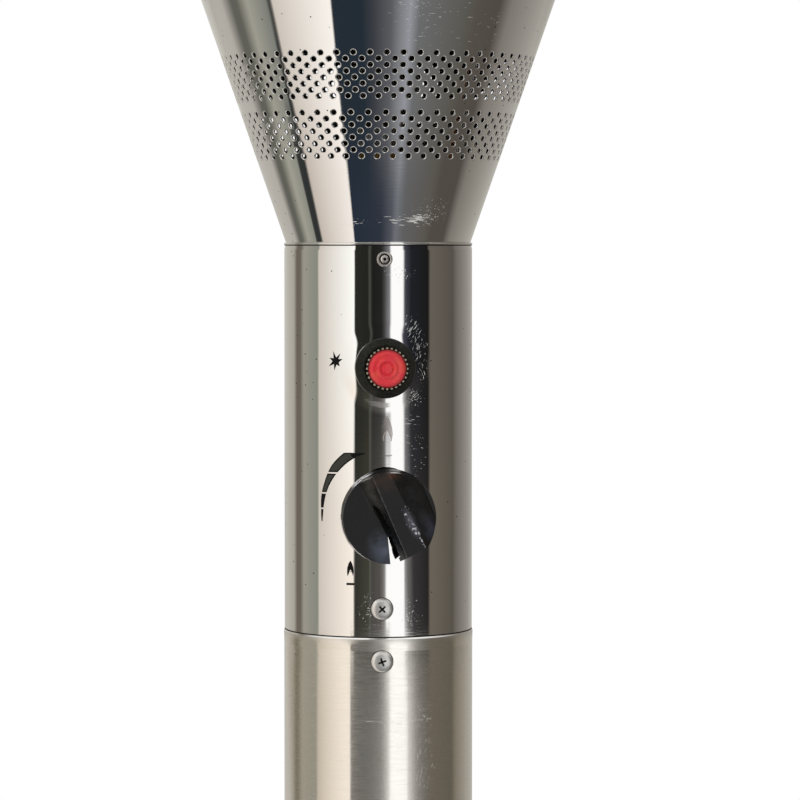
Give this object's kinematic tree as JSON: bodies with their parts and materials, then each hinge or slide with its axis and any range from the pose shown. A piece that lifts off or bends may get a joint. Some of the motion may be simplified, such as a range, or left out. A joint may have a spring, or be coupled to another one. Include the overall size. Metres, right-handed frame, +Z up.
{
  "type": "patio heater",
  "caption": "Full-size gas patio heater: weighted wheeled base, lifting tank housing, post, polished neck with knob and push igniter, flaring cone, emitter and spun reflector.",
  "frame": {"origin": "on the floor at the middle of the round base, under the post's axis", "axes": "+Z up along the post, -Y towards the front, where the knob and igniter face, +X to the right as seen from the front"},
  "size_m": [0.812, 0.812, 2.2052],
  "materials": {
    "polished_stainless": "mirror-polished stainless steel",
    "brushed_stainless": "satin stainless steel, brushed along the post",
    "emitter_stainless": "perforated stainless steel, slightly straw-tinted by heat",
    "reflector_aluminium": "spun aluminium",
    "galvanised_steel": "zinc-plated steel",
    "ballast_steel": "black-painted steel plate",
    "fastener_steel": "plated steel",
    "rivet_aluminium": "aluminium blind rivet",
    "brass": "machined brass",
    "black_plastic": "glossy black moulded plastic",
    "black_nylon": "black nylon",
    "worn_black_plastic": "black moulded plastic, worn pale at its edges",
    "red_plastic": "red moulded plastic",
    "tyre_rubber": "black rubber",
    "ceramic": "white glazed ceramic",
    "lead_insulation": "silicone rubber insulation",
    "copper": "bare copper tube",
    "spring_steel": "drawn spring steel"
  },
  "bodies": {
    "stand": {"base_pan": "brushed_stainless", "base_ballast": "ballast_steel", "leg_rear": "galvanised_steel", "leg_left": "galvanised_steel", "leg_right": "galvanised_steel", "leg_foot_bolts": "fastener_steel", "leg_tab_bolts": "fastener_steel", "wheel_bracket": "galvanised_steel", "wheel_bracket_bolts": "fastener_steel", "wheel_axle": "fastener_steel", "axle_caps": "black_nylon", "post_socket": "galvanised_steel", "post_tube": "brushed_stainless", "post_screws": "fastener_steel", "joining_sleeve": "galvanised_steel", "neck_shell": "polished_stainless", "neck_screws": "fastener_steel", "cone_rivets": "rivet_aluminium", "cone_shell": "polished_stainless", "valve_bracket": "galvanised_steel", "valve_screws": "fastener_steel", "valve_bonnet": "brass", "valve_body": "brass", "gas_inlet_fitting": "brass", "tilt_switch": "black_nylon", "igniter_body": "worn_black_plastic", "igniter_nut": "black_nylon", "igniter_cap_ring": "worn_black_plastic", "igniter_spring": "spring_steel", "igniter_lead": "lead_insulation", "gas_riser": "rivet_aluminium", "gas_injector": "brass", "burner_tube": "galvanised_steel", "burner_plate": "galvanised_steel", "burner_head": "emitter_stainless", "pilot_bracket": "galvanised_steel", "pilot_burner": "emitter_stainless", "pilot_tube": "rivet_aluminium", "thermocouple": "copper", "spark_electrode": "ceramic", "emitter_screen": "emitter_stainless", "emitter_screws": "fastener_steel", "emitter_cap": "emitter_stainless", "reflector_studs": "fastener_steel", "stud_spacers": "fastener_steel", "reflector": "reflector_aluminium", "wing_nuts": "fastener_steel"},
    "tank_housing": {"housing_shell": "brushed_stainless", "housing_lid": "brushed_stainless", "housing_bush": "black_nylon", "housing_rivets": "rivet_aluminium"},
    "wheel_left": {"wheel_hub_left": "black_nylon", "wheel_tyre_left": "tyre_rubber"},
    "wheel_right": {"wheel_hub_right": "black_nylon", "wheel_tyre_right": "tyre_rubber"},
    "valve_turn": {"valve_plug": "brass", "stem_spring": "spring_steel"},
    "knob": {"control_knob": "black_plastic", "valve_stem": "brass"},
    "igniter_push": {"igniter_button": "red_plastic"}
  },
  "joints": [
    {"name": "housing_lift", "type": "slide", "parent": "stand", "child": "tank_housing", "axis": [0, 0, 1], "range_m": [0, 0.6]},
    {"name": "wheel_left_roll", "type": "hinge", "parent": "stand", "child": "wheel_left", "pos_m": [-0.089, 0.25, 0.035], "axis": [1, 0, 0], "continuous": true},
    {"name": "wheel_right_roll", "type": "hinge", "parent": "stand", "child": "wheel_right", "pos_m": [0.089, 0.25, 0.035], "axis": [1, 0, 0], "continuous": true},
    {"name": "knob_turn", "type": "hinge", "parent": "stand", "child": "valve_turn", "pos_m": [0, -0.02, 1.6466], "axis": [0, 1, 0], "range_deg": [-119, 26]},
    {"name": "knob_push", "type": "slide", "parent": "valve_turn", "child": "knob", "axis": [0, 1, 0], "range_m": [0, 0.004], "stiffness_N_per_m": 800, "springref_m": -0.002, "deforming": ["stem_spring"]},
    {"name": "igniter_press", "type": "slide", "parent": "stand", "child": "igniter_push", "axis": [0, 1, 0], "range_m": [0, 0.003], "stiffness_N_per_m": 800, "springref_m": -0.002, "deforming": ["igniter_spring"]}
  ]
}
